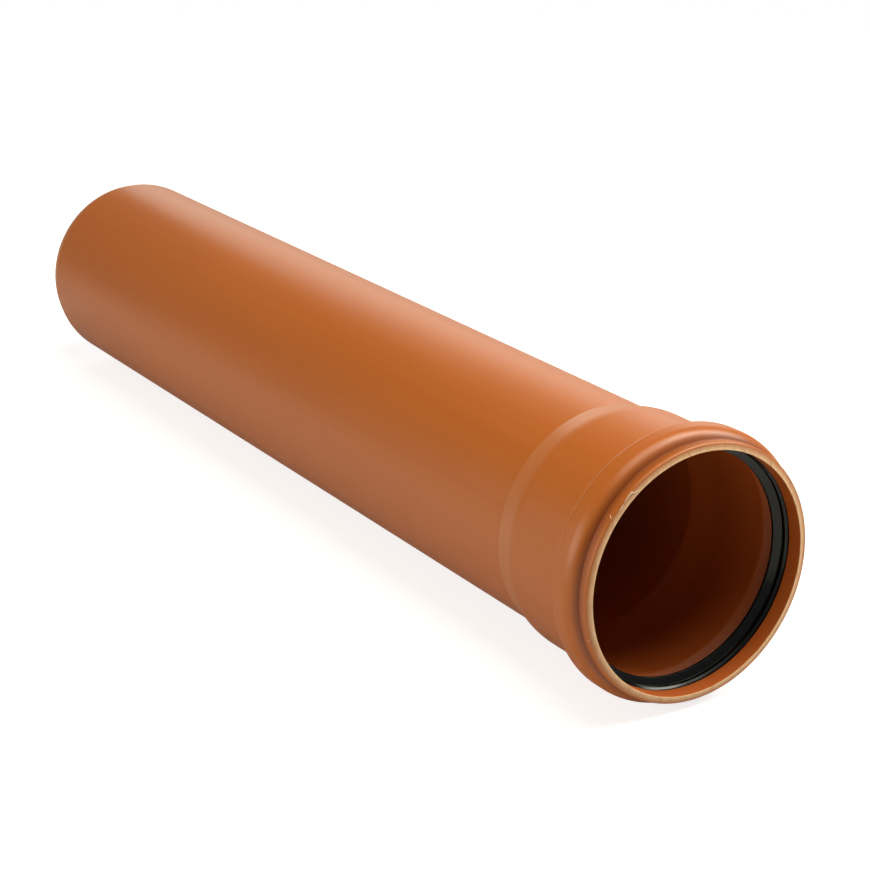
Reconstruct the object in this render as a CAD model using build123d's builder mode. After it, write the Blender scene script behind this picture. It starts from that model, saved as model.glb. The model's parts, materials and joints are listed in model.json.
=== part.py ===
"""Push-fit sewer pipe with a formed socket and its rubber lip seal, lying on a level floor.

Profiles are drawn in a plane through the pipe's axis. Their first coordinate is the distance
from the mouth along the axis, and the second is the radius.
"""

import os
from math import atan2, cos, degrees, radians, sin, tan

from build123d import *

# Barrel: the plain pipe, from the foot of the flare to the spigot end
pipe_diameter = 110.0
pipe_wall = 3.2
barrel_length = 504.0
spigot_chamfer_length = 6.0
spigot_chamfer_angle = 15.0

# Socket: the widened end that takes the next pipe's spigot, with its flare down to the barrel
socket_wall = 2.9
spigot_clearance = 0.3
socket_run = 34.3
flare_length = 14.0
flare_rounding = 30.0
flare_foot_rounding = 3.0

# Lip: the thick rim in front of the bead, sawn square at the mouth and curved down to the valley
mouth_clearance = 0.85
lip_length = 6.0
lip_thickness = 3.6
lip_rounding = 1.2
lip_crown_length = 3.0
lip_back_rounding = 6.0
valley_depth = 1.15
valley_rounding = 0.6

# Bead: the ring pressed out of the socket wall to make the seal's groove
bead_height = 5.0
bead_crown_length = 9.8
bead_front_angle = 58.0
bead_back_angle = 36.0
bead_rounding = 3.0
step_height = 1.5
step_angle = 65.0

# Seal ring: a wiper rib and a groove, then a lip that the spigot folds back into the notch behind it
seal_clearance = 0.15
seal_toe_depth = 0.9
seal_rib_offset = 1.0
seal_rib_width = 2.7
seal_rib_clearance = 0.2
seal_groove_run = 0.8
seal_groove_depth = 0.8
seal_lip_squeeze = 2.5
seal_lip_run = 2.1
seal_lip_land = 1.4
seal_notch_depth = 2.5
seal_body_depth = 2.6
seal_heel_length = 1.6


def inner_corner(outer_corner, slope_before, slope_after, depth):
    """Point at a given depth under an outer corner, where the outer line turns between two slopes."""
    half_turn = radians(slope_after - slope_before) / 2
    middle_slope = radians(slope_after + slope_before) / 2
    reach = depth / cos(half_turn)
    return (
        outer_corner[0] + reach * sin(middle_slope),
        outer_corner[1] - reach * cos(middle_slope),
    )


# Radii of the pipe's surfaces
pipe_radius = pipe_diameter / 2
bore_radius = pipe_radius - pipe_wall
mouth_radius = pipe_radius + mouth_clearance
lip_radius = mouth_radius + lip_thickness
valley_radius = lip_radius - valley_depth
socket_radius = pipe_radius + spigot_clearance + socket_wall
bead_radius = socket_radius + bead_height
step_radius = socket_radius + step_height
spigot_tip_radius = pipe_radius - spigot_chamfer_length * tan(radians(spigot_chamfer_angle))

# Corners of the outer surface, from the mouth to the spigot end
front_run = (bead_radius - valley_radius) / tan(radians(bead_front_angle))
back_run = (bead_radius - step_radius) / tan(radians(bead_back_angle))
step_run = step_height / tan(radians(step_angle))
valley = (lip_length, valley_radius)
crown_front = (valley[0] + front_run, bead_radius)
crown_back = (crown_front[0] + bead_crown_length, bead_radius)
step_top = (crown_back[0] + back_run, step_radius)
step_foot = (step_top[0] + step_run, socket_radius)
flare_start = (step_foot[0] + socket_run, socket_radius)
flare_foot = (flare_start[0] + flare_length, pipe_radius)
overall_length = flare_foot[0] + barrel_length
chamfer_start = (overall_length - spigot_chamfer_length, pipe_radius)
flare_angle = degrees(atan2(socket_radius - pipe_radius, flare_length))

# Rest pose: the bead's crown and the edge of the spigot's chamfer touch the floor, the origin
# is under the middle of the pipe, and +X runs from the mouth to the spigot end
crown_touch = crown_back[0] - bead_rounding * tan(radians(bead_back_angle) / 2)
rest_tilt = atan2(bead_radius - pipe_radius, chamfer_start[0] - crown_touch)
rim_flat_radius = lip_radius - lip_rounding
mouth_height = crown_touch * sin(rest_tilt) + bead_radius * cos(rest_tilt)
mouth_reach = (
    overall_length * cos(rest_tilt) - (rim_flat_radius - spigot_tip_radius) * sin(rest_tilt)
) / 2
section = Plane(
    origin=(-mouth_reach, 0, mouth_height),
    x_dir=(cos(rest_tilt), 0, -sin(rest_tilt)),
    z_dir=(0, -1, 0),
)
pipe_axis = Axis(section.origin, section.x_dir)

# Pipe: one extruded tube, with its socket formed in one end
groove_front = inner_corner(crown_front, bead_front_angle, 0, socket_wall)
groove_back = inner_corner(crown_back, 0, -bead_back_angle, socket_wall)
land_end = (
    groove_front[0] - (groove_front[1] - mouth_radius) / tan(radians(bead_front_angle)),
    mouth_radius,
)
ledge_top = inner_corner(step_top, -bead_back_angle, -step_angle, socket_wall)
ledge_foot = inner_corner(step_foot, -step_angle, 0, socket_wall)
inner_flare_start = inner_corner(flare_start, 0, -flare_angle, socket_wall)
inner_flare_foot = inner_corner(flare_foot, -flare_angle, 0, pipe_wall)

with BuildPart() as pipe:
    with BuildSketch(section):
        with BuildLine():
            outside = FilletPolyline(
                (0, mouth_radius),
                (0, lip_radius),
                (lip_crown_length, lip_radius),
                valley,
                crown_front,
                crown_back,
                step_top,
                step_foot,
                flare_start,
                flare_foot,
                chamfer_start,
                (overall_length, spigot_tip_radius),
                radius=[
                    lip_rounding,
                    lip_back_rounding,
                    valley_rounding,
                    bead_rounding,
                    bead_rounding,
                    0,
                    0,
                    flare_rounding,
                    flare_foot_rounding,
                    0,
                ],
            )
            inside = Polyline(
                (0, mouth_radius),
                land_end,
                groove_front,
                groove_back,
                ledge_top,
                ledge_foot,
                inner_flare_start,
                inner_flare_foot,
                (overall_length, bore_radius),
            )
            Line(outside @ 1, inside @ 1)
        make_face()
    revolve(axis=pipe_axis)
pipe.part.label = "pipe"

# Seal ring: seated in the groove, with its rib and its lip standing into the mouth
seal_depth = socket_wall + seal_clearance
ring_front = inner_corner(crown_front, bead_front_angle, 0, seal_depth)
ring_back = inner_corner(crown_back, 0, -bead_back_angle, seal_depth)
toe_radius = mouth_radius + seal_toe_depth
toe = (
    ring_front[0] - (ring_front[1] - toe_radius) / tan(radians(bead_front_angle)),
    toe_radius,
)
rib_radius = pipe_radius + seal_rib_clearance
lip_tip_radius = pipe_radius - seal_lip_squeeze
rib_front = (land_end[0] + seal_rib_offset, rib_radius)
rib_back = (rib_front[0] + seal_rib_width, rib_radius)
rib_groove = (rib_back[0] + seal_groove_run, rib_radius + seal_groove_depth)
lip_front = (rib_groove[0] + seal_lip_run, lip_tip_radius)
lip_back = (lip_front[0] + seal_lip_land, lip_tip_radius)
lip_slope = (rib_groove[1] - lip_tip_radius) / seal_lip_run
notch_root = (lip_back[0] - seal_notch_depth / lip_slope, lip_tip_radius + seal_notch_depth)
body_back = (ring_back[0], ring_back[1] - seal_body_depth)
heel = (
    ring_back[0] + seal_heel_length * cos(radians(bead_back_angle)),
    ring_back[1] - seal_heel_length * sin(radians(bead_back_angle)),
)

with BuildPart() as seal_ring:
    with BuildSketch(section):
        with BuildLine():
            Polyline(
                toe,
                rib_front,
                rib_back,
                rib_groove,
                lip_front,
                lip_back,
                notch_root,
                body_back,
                heel,
                ring_back,
                ring_front,
                close=True,
            )
        make_face()
    revolve(axis=pipe_axis)
seal_ring.part.label = "seal_ring"

os.makedirs("parts", exist_ok=True)
export_step(pipe.part, "parts/pipe.step")
export_step(seal_ring.part, "parts/seal_ring.step")
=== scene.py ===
import json
from math import atan2, cos, pi, radians, sin, tan

import bpy
import numpy as np
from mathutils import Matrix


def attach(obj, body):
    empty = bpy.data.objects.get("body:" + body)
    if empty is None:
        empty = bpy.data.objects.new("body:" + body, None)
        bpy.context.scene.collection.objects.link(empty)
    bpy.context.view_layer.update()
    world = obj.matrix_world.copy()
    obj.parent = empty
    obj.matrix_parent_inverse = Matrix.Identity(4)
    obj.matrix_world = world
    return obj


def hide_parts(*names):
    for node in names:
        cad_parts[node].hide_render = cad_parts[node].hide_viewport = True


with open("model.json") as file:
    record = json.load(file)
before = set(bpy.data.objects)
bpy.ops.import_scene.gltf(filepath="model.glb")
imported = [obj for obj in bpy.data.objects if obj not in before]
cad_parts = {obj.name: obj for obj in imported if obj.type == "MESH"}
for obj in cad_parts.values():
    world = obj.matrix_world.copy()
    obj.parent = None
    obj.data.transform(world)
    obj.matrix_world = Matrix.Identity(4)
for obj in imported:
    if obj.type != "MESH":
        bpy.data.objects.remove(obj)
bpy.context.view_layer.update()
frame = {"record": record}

# Pipe: one length of orange-brown PVC-U, extruded through a die and sawn square at the mouth.
# Its socket was formed hot over a mandrel, with a bead pressed out for the seal, and the spigot's
# chamfer was turned on the other end.
mm = 0.001
mounts = {mount["name"]: mount for mount in frame["record"]["mounts"]}
spigot_end = np.array(mounts["waterway"]["pos_m"])
pipe_axis = np.array(mounts["waterway"]["axis"])
pipe_radius = mounts["spigot"]["dims"]["r_mm"] * mm
bore_radius = mounts["waterway"]["dims"]["r_mm"] * mm
pipe_wall = pipe_radius - bore_radius
barrel_length = 504.0 * mm
chamfer_length = 6.0 * mm
chamfer_angle = radians(15.0)

socket_wall = 2.9 * mm
spigot_clearance = 0.3 * mm
socket_run = 34.3 * mm
flare_length = 14.0 * mm
flare_rounding = 30.0 * mm
flare_foot_rounding = 3.0 * mm

mouth_clearance = 0.85 * mm
lip_length = 6.0 * mm
lip_thickness = 3.6 * mm
lip_rounding = 1.2 * mm
rim_bevel = 0.5 * mm
lip_crown_length = 5.4 * mm
lip_taper = 0.1 * mm
lip_back_rounding = 0.8 * mm
valley_depth = 1.15 * mm
valley_rounding = 0.3 * mm

bead_height = 5.0 * mm
bead_crown_length = 9.8 * mm
bead_front_angle = radians(58.0)
bead_back_angle = radians(36.0)
bead_front_rounding = 7.0 * mm
bead_back_rounding = 3.0 * mm
step_height = 1.5 * mm
step_angle = radians(65.0)
step_rounding = 0.35 * mm
ledge_rounding = 2.5 * mm
groove_rounding = 0.6 * mm
cut_edge = 0.2 * mm

mouth_radius = pipe_radius + mouth_clearance
lip_radius = mouth_radius + lip_thickness
valley_radius = lip_radius - valley_depth
socket_radius = pipe_radius + spigot_clearance + socket_wall
bead_radius = socket_radius + bead_height
step_radius = socket_radius + step_height
spigot_tip_radius = pipe_radius - chamfer_length * tan(chamfer_angle)

valley = (lip_length, valley_radius)
crown_front = (valley[0] + (bead_radius - valley_radius) / tan(bead_front_angle), bead_radius)
crown_back = (crown_front[0] + bead_crown_length, bead_radius)
step_top = (crown_back[0] + (bead_radius - step_radius) / tan(bead_back_angle), step_radius)
step_foot = (step_top[0] + step_height / tan(step_angle), socket_radius)
flare_start = (step_foot[0] + socket_run, socket_radius)
flare_foot = (flare_start[0] + flare_length, pipe_radius)
overall_length = flare_foot[0] + barrel_length
chamfer_start = (overall_length - chamfer_length, pipe_radius)
flare_angle = atan2(socket_radius - pipe_radius, flare_length)

mouth_centre = spigot_end - overall_length * pipe_axis
sideways = np.array([0.0, 1.0, 0.0])
upwards = np.cross(pipe_axis, sideways)


def under(corner, slope_before, slope_after, depth):
    """Point at a depth under an outer corner: along the bisector of the two slopes that meet there,
    at the depth over the cosine of half the turn."""
    reach = depth / cos((slope_after - slope_before) / 2)
    middle = (slope_after + slope_before) / 2
    return corner[0] + reach * sin(middle), corner[1] - reach * cos(middle)


def rounded(corners, radii, arc_points=8):
    """Closed outline with an arc in place of each corner: the arc's centre lies on the corner's
    bisector, and its points divide the turn from one tangent point to the other evenly."""
    corner = np.array(corners)
    radius = np.array(radii)[:, None]
    before = np.roll(corner, 1, axis=0) - corner
    before /= np.linalg.norm(before, axis=1, keepdims=True)
    after = np.roll(corner, -1, axis=0) - corner
    after /= np.linalg.norm(after, axis=1, keepdims=True)
    half = np.arccos((before * after).sum(axis=1, keepdims=True)) / 2
    bisector = before + after
    bisector /= np.linalg.norm(bisector, axis=1, keepdims=True)
    centre = corner + bisector * radius / np.sin(half)
    start = corner + before * radius / np.tan(half) - centre
    end = corner + after * radius / np.tan(half) - centre
    turn = (pi - 2 * half)[:, None]
    share = np.linspace(0, 1, arc_points)[None, :, None]
    swept = np.sin((1 - share) * turn) * start[:, None] + np.sin(share * turn) * end[:, None]
    return (centre[:, None] + swept / np.sin(turn)).reshape(-1, 2)


def with_rows(outline, near, spacing):
    """The same closed outline with more points on its straight runs: one near each end of a run,
    which keeps the shading of the roundings off it, and others at even steps along the outline."""
    closed = np.concatenate([outline, outline[:1]])
    run = np.linalg.norm(np.diff(closed, axis=0), axis=1)
    reach = np.concatenate([[0], np.cumsum(run)])
    long_enough = run > 4 * near
    run_ends = np.concatenate([reach[:-1][long_enough] + near, reach[1:][long_enough] - near])
    steps = np.arange(0, reach[-1], spacing)
    on_run = np.searchsorted(reach, steps, side="right") - 1
    clear = np.minimum(steps - reach[on_run], reach[on_run + 1] - steps) > 2 * near
    stations = np.sort(np.concatenate([reach[:-1], run_ends, steps[clear]]))
    return np.stack([np.interp(stations, reach, closed[:, axis]) for axis in (0, 1)], axis=1)


def around_axis(distance, radius, angle):
    """Points at a distance from the mouth along the pipe's axis, and at a radius from it, in the
    direction that the angle gives, counted from straight down towards +Y."""
    outwards = np.sin(angle)[..., None] * sideways - np.cos(angle)[..., None] * upwards
    return mouth_centre + distance[..., None] * pipe_axis + radius[..., None] * outwards


def turned(name, outline, segments):
    """Object made by carrying a closed outline of distances and radii once round the pipe's axis.
    Its quads join each outline point and angle to the next ones, and both directions close."""
    angle = np.linspace(0, 2 * pi, segments, endpoint=False)
    distance, radius, angle = np.broadcast_arrays(outline[:, :1], outline[:, 1:], angle)
    points = around_axis(distance, radius, angle)
    number = np.arange(distance.size).reshape(distance.shape)
    across = np.roll(number, -1, axis=1)
    ahead = np.roll(number, -1, axis=0)
    quads = np.stack([number, across, np.roll(across, -1, axis=0), ahead], axis=-1)
    mesh = bpy.data.meshes.new(name)
    mesh.vertices.add(number.size)
    mesh.vertices.foreach_set("co", points.ravel())
    mesh.loops.add(quads.size)
    mesh.loops.foreach_set("vertex_index", quads.ravel())
    mesh.polygons.add(number.size)
    mesh.polygons.foreach_set("loop_start", np.arange(0, quads.size, 4))
    mesh.update(calc_edges=True)
    mesh.validate()
    mesh.shade_smooth()
    made = bpy.data.objects.new(name, mesh)
    bpy.context.scene.collection.objects.link(made)
    return made


groove_front = under(crown_front, bead_front_angle, 0, socket_wall)
groove_back = under(crown_back, 0, -bead_back_angle, socket_wall)
socket_bore = socket_radius - socket_wall
ledge_foot = (groove_back[0] + (groove_back[1] - socket_bore) / tan(bead_back_angle), socket_bore)
land_end = (groove_front[0] - (groove_front[1] - mouth_radius) / tan(bead_front_angle), mouth_radius)
pipe_segments = 320
pipe_outline = with_rows(
    rounded(
        [
            (0, mouth_radius),
            (rim_bevel, lip_radius),
            (lip_crown_length, lip_radius - lip_taper),
            valley,
            crown_front,
            crown_back,
            step_top,
            step_foot,
            flare_start,
            flare_foot,
            chamfer_start,
            (overall_length, spigot_tip_radius),
            (overall_length, bore_radius),
            under(flare_foot, -flare_angle, 0, pipe_wall),
            under(flare_start, 0, -flare_angle, socket_wall),
            ledge_foot,
            groove_back,
            groove_front,
            land_end,
        ],
        [
            cut_edge,
            lip_rounding,
            lip_back_rounding,
            valley_rounding,
            bead_front_rounding,
            bead_back_rounding,
            step_rounding,
            step_rounding,
            flare_rounding,
            flare_foot_rounding,
            cut_edge,
            cut_edge,
            cut_edge,
            flare_foot_rounding,
            flare_rounding,
            ledge_rounding,
            groove_rounding,
            groove_rounding,
            groove_rounding,
        ],
    ),
    near=0.3 * mm,
    spacing=20.0 * mm,
)
pipe = turned("pipe_body", pipe_outline, pipe_segments)

# Faces that the saw or the lathe left: the two end faces, palest along the mouth's inner edge,
# and in part the chamfer. A pale line along the step's edge is a painted highlight. The valley behind
# the lip and the inside are painted darker, as painted shade, and the flare and the bead's back are
# painted paler: partly the whitening where the forming stretched them, partly painted sheen.
fade_length = 0.5 * mm
rim_fade_depths = [0.4 * mm, 1.6 * mm, 3.2 * mm]
rim_fade_shares = [0, 0.4, 1]
chamfer_share = 0.12
# The step's share paints a pale highlight along the step's edge.
step_highlight_share = 0.22
rise_and_fall = [0, 1, 1, 0]
# Painted shade: the valley behind the lip is coloured darker where the lip and the bead shade it.
valley_shade_ring = [0.8 * mm, 5.2 * mm, 6.5 * mm, 8.5 * mm]
# The bead's back and the flare are painted paler: partly the whitening where forming stretched them,
# partly painted sheen where they tilt towards the light behind the pipe.
back_rise = 1.2 * mm
back_fall = 0.5 * mm
back_ring = [crown_back[0], crown_back[0] + back_rise, step_top[0], step_foot[0] + back_fall]
# Painted highlight: a pale line along the step's top edge, in the sawn faces' pale colour, where the
# edge catches light.
step_rise = 2.3 * mm
step_fall = 0.3 * mm
step_highlight_ring = [
    step_top[0] - step_fall - step_rise,
    step_top[0] - step_fall,
    step_foot[0],
    step_foot[0] + step_fall,
]
flare_rise = 4.0 * mm
flare_fall = 0.4 * mm
flare_ring = [
    flare_start[0],
    flare_start[0] + flare_rise,
    flare_foot[0] - flare_fall,
    flare_foot[0] + flare_fall,
]

distance, radius = pipe_outline.T
inside = np.gradient(distance) < 0
behind_rim = distance - rim_bevel * (radius - mouth_radius) / lip_thickness
rim_fade = np.interp(lip_radius - radius, rim_fade_depths, rim_fade_shares)
on_rim = np.clip(1 - behind_rim / fade_length, 0, 1) * (radius > mouth_radius - cut_edge)
on_end = np.clip(1 - (overall_length - distance) / fade_length, 0, 1)
on_chamfer = (distance > chamfer_start[0] - cut_edge) * (radius > bore_radius + cut_edge)
on_step_highlight = np.interp(distance, step_highlight_ring, rise_and_fall) * ~inside
on_back = np.interp(distance, back_ring, rise_and_fall) * ~inside
on_flare = np.interp(distance, flare_ring, rise_and_fall) * ~inside
cut_and_highlight_places = [on_rim * rim_fade, on_end, chamfer_share * on_chamfer, step_highlight_share * on_step_highlight]
shares = {
    "cut_and_step_highlight": np.maximum.reduce(cut_and_highlight_places),
    "valley": np.interp(distance, valley_shade_ring, rise_and_fall) * ~inside,
    "bore": inside.astype(float),
    "stretched": on_back + on_flare,
}
for share_name, share in shares.items():
    layer = pipe.data.attributes.new(share_name, "FLOAT", "POINT")
    layer.data.foreach_set("value", np.repeat(share, pipe_segments))


class Shade:
    """A value in a material's node tree. Arithmetic on it adds Math nodes to that tree."""

    def __init__(self, tree, socket=None):
        self.tree = tree
        self.socket = socket

    def node(self, kind, settings, sockets, out=0):
        """Adds a node, sets its settings first, then gives its sockets their values or links."""
        added = self.tree.nodes.new(kind)
        for name, value in settings.items():
            setattr(added, name, value)
        for key, value in sockets.items():
            if isinstance(value, Shade):
                self.tree.links.new(value.socket, added.inputs[key])
            else:
                added.inputs[key].default_value = value
        return Shade(self.tree, added.outputs[out])

    def maths(self, operation, first, second):
        """A Math node on two values or numbers."""
        return self.node("ShaderNodeMath", {"operation": operation}, {0: first, 1: second})

    def __add__(self, other):
        return self.maths("ADD", self, other)

    def __radd__(self, other):
        return self.maths("ADD", other, self)

    def __mul__(self, other):
        return self.maths("MULTIPLY", self, other)

    def __rmul__(self, other):
        return self.maths("MULTIPLY", other, self)

    def step(self, low, high):
        """Rises smoothly from 0 at the low value to 1 at the high one."""
        return self.node(
            "ShaderNodeMapRange",
            {"interpolation_type": "SMOOTHSTEP"},
            {0: self, 1: low, 2: high},
        )

    def blend(self, first, second):
        """The first colour where this value is 0, the second where it is 1."""
        return self.node("ShaderNodeMix", {"data_type": "RGBA"}, {0: self, 6: first, 7: second}, out=2)

    def stretched(self, factors):
        """These coordinates times a factor for each axis."""
        return self.node("ShaderNodeVectorMath", {"operation": "MULTIPLY"}, {0: self, 1: factors})

    def noise(self, scale, detail=2.0, roughness=0.5):
        """Noise at these coordinates, about 0.5 on average."""
        return self.node(
            "ShaderNodeTexNoise",
            {},
            {"Vector": self, "Scale": scale, "Detail": detail, "Roughness": roughness},
        )

    def bump(self, depth, strength):
        """Normal of a surface that this value raises, by the depth where it goes from 0 to 1."""
        return self.node(
            "ShaderNodeBump",
            {},
            {"Height": self, "Distance": depth, "Strength": strength},
        )

    def feeds(self, shader, name):
        """Links this value to one of a shader's inputs."""
        self.tree.links.new(self.socket, shader.inputs[name])


def new_material(name):
    """A material with its shader, and coordinates that run along the pipe's axis from the mouth."""
    material = bpy.data.materials.new(name)
    material.use_nodes = True
    shader = material.node_tree.nodes["Principled BSDF"]
    place = Shade(material.node_tree).node("ShaderNodeTexCoord", {}, {}, out="Object")
    dip = atan2(-pipe_axis[2], pipe_axis[0])
    along = place.node(
        "ShaderNodeMapping",
        {"vector_type": "TEXTURE"},
        {"Vector": place, "Location": mouth_centre, "Rotation": (0, dip, 0)},
    )
    return material, shader, along


pvc_orange = (0.45, 0.113, 0.0095, 1)
pvc_deep = (0.43, 0.105, 0.0085, 1)
# Paler colour for the flare and the bead's back: partly stretch whitening, partly painted sheen.
pvc_stretched_and_sheen = (0.485, 0.142, 0.028, 1)
# The bore's colour is painted shade: the inside is coloured darker and redder where little light
# reaches it.
pvc_bore_painted_shade = (0.415, 0.083, 0.005, 1)
pvc_painted_shade = (0.235, 0.05, 0.003, 1)
pvc_cut_and_highlight = (0.9, 0.59, 0.33, 1)
pvc_gloss = 0.5
skin_roughness = 0.31
cloud_roughness = 0.06
die_line_roughness = 0.04
dull_roughness = 0.25
die_line_height = 0.35
grain_height = 0.2
saw_mark_height = 1.6
cut_grain_height = 0.8
relief_depth = 0.02 * mm
relief_strength = 0.5

pvc, pvc_shader, along = new_material("pvc_satin")
cut_and_step_highlight, valley_painted_shade, bore_shade_and_dullness, stretch_and_sheen_tone = [
    along.node("ShaderNodeAttribute", {"attribute_name": share_name}, {}, out="Fac")
    for share_name in shares
]
die_lines = along.stretched((0.012, 1, 1)).noise(scale=420.0, detail=3.0)
clouds = along.stretched((0.25, 1, 1)).noise(scale=22.0, detail=3.0)
grain = along.noise(scale=1800.0)
saw_marks = along.stretched((1, 1, 0.15)).noise(scale=700.0, detail=4.0)
tint = (0.5 * die_lines + 0.5 * clouds).step(low=0.36, high=0.64)
# The pale colour goes on the sawn and turned faces, and as a painted highlight along the step's edge.
whitened_and_highlit = cut_and_step_highlight * (0.35 + saw_marks).step(low=0.3, high=0.95)
skin = tint.blend(pvc_deep, pvc_orange)
# Painted shade in the bore; the same mask also makes the bore duller through the roughness below.
skin = bore_shade_and_dullness.blend(skin, pvc_bore_painted_shade)
# Partly painted sheen on the flare and the bead's back.
skin = stretch_and_sheen_tone.blend(skin, pvc_stretched_and_sheen)
# Painted shade in the valley behind the lip.
skin = valley_painted_shade.blend(skin, pvc_painted_shade)
whitened_and_highlit.blend(skin, pvc_cut_and_highlight).feeds(pvc_shader, "Base Color")
uneven_roughness = cloud_roughness * clouds + die_line_roughness * die_lines
roughness = skin_roughness + uneven_roughness + dull_roughness * (cut_and_step_highlight + bore_shade_and_dullness)
roughness.feeds(pvc_shader, "Roughness")
cut_relief = saw_mark_height * saw_marks + cut_grain_height * grain
relief = die_line_height * die_lines + grain_height * grain + cut_and_step_highlight * cut_relief
relief.bump(relief_depth, relief_strength).feeds(pvc_shader, "Normal")
pvc_shader.inputs["Specular IOR Level"].default_value = pvc_gloss
pipe.data.materials.append(pvc)
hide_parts("pipe")
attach(pipe, "root")

# Rim burrs: slivers of the pipe's own PVC that the saw raised along the mouth's edge, and a nick in
# the lip. They are paler than the pipe because the plastic whitens where it is torn.
burr_sides = 8
burr_rows = 41
burr_lean = 1e-3
# Width of each burr in mm, and the points that it runs through: the distance from the mouth and the
# radius in mm, and the angle round the pipe in degrees
burrs_seen = [
    (
        0.38,
        [
            (0.0, 56.95, 144.5),
            (0.0, 57.98, 141.6),
            (0.24, 59.0, 141.2),
            (0.24, 58.98, 138.4),
            (0.08, 58.7, 135.6),
        ],
    ),
    (0.34, [(0.05, 58.6, 135.1), (0.0, 58.18, 132.4)]),
    (0.3, [(2.5, 59.45, 128.9), (1.4, 59.45, 128.1), (0.35, 59.1, 127.6)]),
    (0.26, [(0.0, 56.7, 78.5), (0.0, 56.85, 76.5), (0.0, 56.75, 74.5), (0.0, 57.0, 71.0)]),
    (0.32, [(1.0, 59.45, 74.3), (1.15, 59.45, 73.4)]),
]


def sliver(width, path):
    """Points and faces of a thin closed tube along a path of distances, radii and angles round the
    pipe. Its round section swells from a point at each end as the root of the sine of the way along.
    A slight lean upwards keeps the section's direction defined where the path runs along the pipe."""
    way = np.linspace(0, 1, burr_rows)
    knots = np.linspace(0, 1, len(path))
    distance, radius, angle = [np.interp(way, knots, values) for values in np.transpose(path)]
    spine = around_axis(distance * mm, radius * mm, np.radians(angle))
    ahead = np.gradient(spine, axis=0)
    ahead /= np.linalg.norm(ahead, axis=1, keepdims=True)
    out_of_rim = -pipe_axis - (ahead @ -pipe_axis)[:, None] * ahead
    out_of_rim += burr_lean * upwards
    out_of_rim /= np.linalg.norm(out_of_rim, axis=1, keepdims=True)
    beside = np.cross(ahead, out_of_rim)
    around = np.linspace(0, 2 * pi, burr_sides, endpoint=False)[None, :, None]
    swell = width * mm / 2 * np.sqrt(np.sin(pi * way))[1:-1, None, None]
    rings = spine[1:-1, None] + swell * (
        np.cos(around) * out_of_rim[1:-1, None] + np.sin(around) * beside[1:-1, None]
    )
    points = np.concatenate([rings.reshape(-1, 3), spine[:1], spine[-1:]])
    number = np.arange((burr_rows - 2) * burr_sides).reshape(-1, burr_sides)
    turn = np.roll(number, -1, axis=1)
    quads = np.stack([number[:-1], turn[:-1], turn[1:], number[1:]], axis=-1).reshape(-1, 4)
    tip, tail = len(points) - 2, len(points) - 1
    start_fan = np.stack([turn[0], number[0], np.full(burr_sides, tip)], axis=-1)
    end_fan = np.stack([number[-1], turn[-1], np.full(burr_sides, tail)], axis=-1)
    return points, quads.tolist() + start_fan.tolist() + end_fan.tolist()


burr_points, burr_faces = [], []
for width, path in burrs_seen:
    points, faces = sliver(width, path)
    first = sum(len(earlier) for earlier in burr_points)
    burr_points.append(points)
    burr_faces += [[first + corner for corner in face] for face in faces]
burr_mesh = bpy.data.meshes.new("rim_burrs")
burr_mesh.from_pydata(np.concatenate(burr_points).tolist(), [], burr_faces)
burr_mesh.shade_smooth()
rim_burrs = bpy.data.objects.new("rim_burrs", burr_mesh)
bpy.context.scene.collection.objects.link(rim_burrs)

pvc_torn = (0.92, 0.8, 0.65, 1)
pvc_torn_dark = (0.8, 0.58, 0.38, 1)
torn_roughness = 0.3
fibre_roughness = 0.3
torn, torn_shader, along = new_material("pvc_torn")
fibres = along.noise(scale=2400.0)
fibres.step(low=0.35, high=0.6).blend(pvc_torn_dark, pvc_torn).feeds(torn_shader, "Base Color")
(torn_roughness + fibre_roughness * fibres).feeds(torn_shader, "Roughness")
rim_burrs.data.materials.append(torn)
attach(rim_burrs, "root")

# Seal ring: one moulding of black rubber, snapped into the groove under the bead. A broad rib with a
# bevelled front wipes the spigot, and the lip behind it folds back over the notch.
seal_clearance = 0.15 * mm
seal_toe_depth = 0.9 * mm
rib_offset = 1.0 * mm
rib_width = 2.7 * mm
rib_clearance = 0.2 * mm
rib_rounding = 0.3 * mm
rib_bevel_height = 0.8 * mm
rib_bevel_run = 0.94 * mm
rib_groove_run = 0.8 * mm
rib_groove_depth = 0.8 * mm
rib_groove_rounding = 0.3 * mm
lip_run = 2.1 * mm
lip_land = 1.4 * mm
lip_edge = 0.2 * mm
notch_depth = 2.5 * mm
notch_rounding = 0.5 * mm
body_depth = 2.6 * mm
heel_length = 1.6 * mm

seal_lip_radius = mounts["seal_lip"]["dims"]["r_mm"] * mm
seal_depth = socket_wall + seal_clearance
ring_front = under(crown_front, bead_front_angle, 0, seal_depth)
ring_back = under(crown_back, 0, -bead_back_angle, seal_depth)
toe_radius = mouth_radius + seal_toe_depth
toe = (ring_front[0] - (ring_front[1] - toe_radius) / tan(bead_front_angle), toe_radius)
rib_front = (land_end[0] + rib_offset, pipe_radius + rib_clearance)
rib_nose = (rib_front[0], rib_front[1] + rib_bevel_height)
rib_top = (rib_front[0] + rib_bevel_run, rib_front[1])
rib_back = (rib_front[0] + rib_width, rib_front[1])
rib_groove = (rib_back[0] + rib_groove_run, rib_back[1] + rib_groove_depth)
lip_front = (rib_groove[0] + lip_run, seal_lip_radius)
lip_back = (lip_front[0] + lip_land, seal_lip_radius)
lip_slope = (rib_groove[1] - seal_lip_radius) / lip_run
notch_root = (lip_back[0] - notch_depth / lip_slope, seal_lip_radius + notch_depth)
body_back = (ring_back[0], ring_back[1] - body_depth)
heel = (
    ring_back[0] + heel_length * cos(bead_back_angle),
    ring_back[1] - heel_length * sin(bead_back_angle),
)
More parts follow.
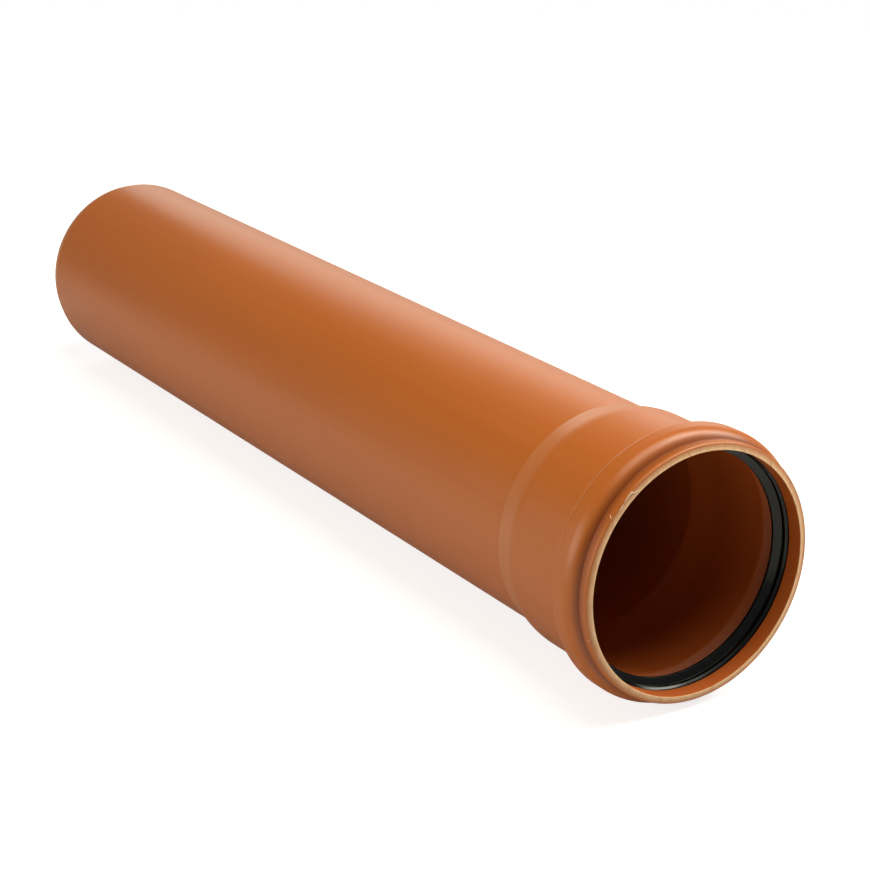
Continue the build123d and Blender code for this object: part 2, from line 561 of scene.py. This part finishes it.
seal_outline = with_rows(
    rounded(
        [
            ring_front,
            ring_back,
            heel,
            body_back,
            notch_root,
            lip_back,
            lip_front,
            rib_groove,
            rib_back,
            rib_top,
            rib_nose,
            toe,
        ],
        [
            groove_rounding,
            groove_rounding,
            lip_edge,
            notch_rounding,
            notch_rounding,
            lip_edge,
            lip_edge,
            rib_groove_rounding,
            rib_rounding,
            rib_rounding,
            rib_rounding,
            lip_edge,
        ],
    ),
    near=0.1 * mm,
    spacing=2.0 * mm,
)
seal_segments = 320
seal_ring = turned("seal_ring_rubber", seal_outline, seal_segments)

rubber_black = (0.0016, 0.0024, 0.0019, 1)
rubber_bloom = (0.006, 0.007, 0.006, 1)
rubber_gloss = 0.3
rubber_roughness = 0.1
bloom_roughness = 0.16
pore_height = 0.6
bloom_height = 0.4
rubber_relief_depth = 0.02 * mm
rubber_relief_strength = 0.5
rubber, rubber_shader, along = new_material("seal_rubber")
bloom = along.noise(scale=160.0, detail=4.0, roughness=0.6)
pores = along.noise(scale=2600.0)
bloom.step(low=0.5, high=0.78).blend(rubber_black, rubber_bloom).feeds(rubber_shader, "Base Color")
(rubber_roughness + bloom_roughness * bloom).feeds(rubber_shader, "Roughness")
rubber_relief = pore_height * pores + bloom_height * bloom
rubber_relief.bump(rubber_relief_depth, rubber_relief_strength).feeds(rubber_shader, "Normal")
rubber_shader.inputs["Specular IOR Level"].default_value = rubber_gloss
seal_ring.data.materials.append(rubber)
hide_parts("seal_ring")
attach(seal_ring, "root")

# Floor: a round sheet of white card. It is seen brightened towards white, with what is left of the
# pipe's shadow, and it throws its own light back under the pipe.
floor_radius = 1.45
floor_sides = 96
floor_colour = (0.62, 0.62, 0.62, 1)
card_roughness = 0.9
card_glow = 0.78
card_mirrored = 0.1
angle = np.linspace(0, 2 * pi, floor_sides, endpoint=False)
floor_edge = floor_radius * np.stack([np.cos(angle), np.sin(angle), np.zeros(floor_sides)], axis=-1)
floor_mesh = bpy.data.meshes.new("floor")
floor_mesh.from_pydata(floor_edge.tolist(), [], [list(range(floor_sides))])
floor = bpy.data.objects.new("floor", floor_mesh)
bpy.context.scene.collection.objects.link(floor)
card = bpy.data.materials.new("white_card")
card.use_nodes = True
card_shader = card.node_tree.nodes["Principled BSDF"]
card_shader.inputs["Base Color"].default_value = floor_colour
card_shader.inputs["Roughness"].default_value = card_roughness
card_shader.inputs["Specular IOR Level"].default_value = 0.0


def seen_or_mirrored(tree, mirrored):
    """1 for what is seen straight or through a clear surface, less in a reflection, and else 0."""
    camera_ray, glossy_ray, clear_ray = [
        Shade(tree).node("ShaderNodeLightPath", {}, {}, out=kind)
        for kind in ("Is Camera Ray", "Is Glossy Ray", "Is Transmission Ray")
    ]
    seen_straight = camera_ray.maths("MAXIMUM", camera_ray, clear_ray)
    return seen_straight.maths("MAXIMUM", seen_straight, mirrored * glossy_ray)


glow_dark = (0, 0, 0, 1)
glow_bright = (card_glow, card_glow, card_glow, 1)
card_seen = seen_or_mirrored(card.node_tree, card_mirrored)
card_seen.blend(glow_dark, glow_bright).feeds(card_shader, "Emission Color")
card_shader.inputs["Emission Strength"].default_value = 1.0
floor_mesh.materials.append(card)

# Light: a dim room with white walls, a soft lamp above the mouth, a long strip standing on the far
# side, a low panel beside the pipe, and another behind its plain end.
room_strength = 0.12
room_mirrored = 0.13
lamp_white = (1.0, 0.97, 0.84)
world = bpy.data.worlds.new("room")
bpy.context.scene.world = world
world.use_nodes = True
room = world.node_tree.nodes["Background"]
room.inputs["Color"].default_value = (1, 1, 1, 1)
room_seen = seen_or_mirrored(world.node_tree, room_mirrored)
(room_strength + (1 - room_strength) * room_seen).feeds(room, "Strength")


def soft_lamp(name, place, target, width, height, power):
    """A rectangular area lamp at a place, turned to face a target and hidden from the camera."""
    lamp_data = bpy.data.lights.new(name, "AREA")
    lamp_data.shape = "RECTANGLE"
    lamp_data.size = width
    lamp_data.size_y = height
    lamp_data.energy = power
    lamp_data.color = lamp_white
    lamp = bpy.data.objects.new(name, lamp_data)
    bpy.context.scene.collection.objects.link(lamp)
    toward = np.array(target) - np.array(place)
    level = np.hypot(toward[0], toward[1])
    lamp.location = place
    lamp.rotation_euler = (atan2(level, -toward[2]), 0, atan2(-toward[0], toward[1]))
    lamp.visible_camera = False


soft_lamp(
    "overhead_lamp",
    place=(-0.42, -0.1, 1.2),
    target=(-0.42, 0.0, 0.05),
    width=0.8,
    height=1.1,
    power=10.6,
)
soft_lamp(
    "strip_lamp",
    place=(-0.56, -1.1, 1.25),
    target=(-0.23, 0.0, 0.08),
    width=0.5,
    height=1.5,
    power=26.0,
)
soft_lamp(
    "side_panel",
    place=(0.15, 1.5, 0.4),
    target=(0.0, 0.0, 0.05),
    width=1.6,
    height=0.7,
    power=12.0,
)
soft_lamp(
    "back_panel",
    place=(1.3, -1.1, 0.6),
    target=(0.0, 0.0, 0.1),
    width=1.6,
    height=0.9,
    power=5.6,
)

# Camera: a long lens in front of the mouth and to one side, at the height of a person seated beside
# the bench, looking down into the socket.
camera_place = (-0.96396, 0.55174, 0.4554)
camera_pitch = radians(20.764)
camera_heading = radians(-121.794)
camera_lens = 91.949
camera_sensor = 36.0
camera_clip = 0.01
camera_data = bpy.data.cameras.new("camera")
camera_data.lens = camera_lens
camera_data.sensor_width = camera_sensor
camera_data.clip_start = camera_clip
camera = bpy.data.objects.new("camera", camera_data)
bpy.context.scene.collection.objects.link(camera)
camera.location = camera_place
camera.rotation_euler = (pi / 2 - camera_pitch, 0, camera_heading)
bpy.context.scene.camera = camera
bpy.context.scene.view_settings.view_transform = "Standard"
